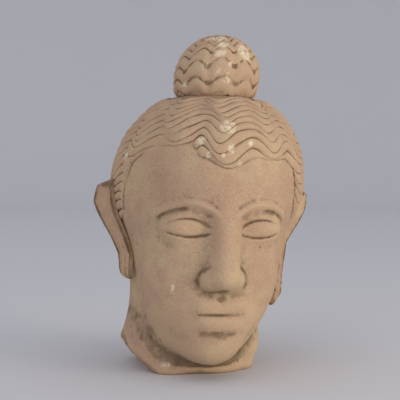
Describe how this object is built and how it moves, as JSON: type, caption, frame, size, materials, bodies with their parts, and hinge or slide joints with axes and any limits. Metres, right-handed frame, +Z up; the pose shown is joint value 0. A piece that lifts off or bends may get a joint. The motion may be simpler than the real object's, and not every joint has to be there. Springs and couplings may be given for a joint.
{
  "type": "carved stone head",
  "caption": "Sandstone head of a Buddha, broken at the neck: calm face with lowered eyes, waved hair, topknot and long ears. It stands on the break.",
  "frame": {"origin": "middle of the flat part of the break under the neck, on which the head stands", "axes": "+Z up, -Y towards the viewer (the way the face looks), +X to the viewer's right"},
  "size_m": [0.1577, 0.1845, 0.2361],
  "materials": {
    "sandstone": "fine sandy stone, weathered and matt, with traces of white lime and brown dirt in the hair"
  },
  "bodies": {
    "root": {"stone_head": "sandstone"}
  },
  "joints": []
}
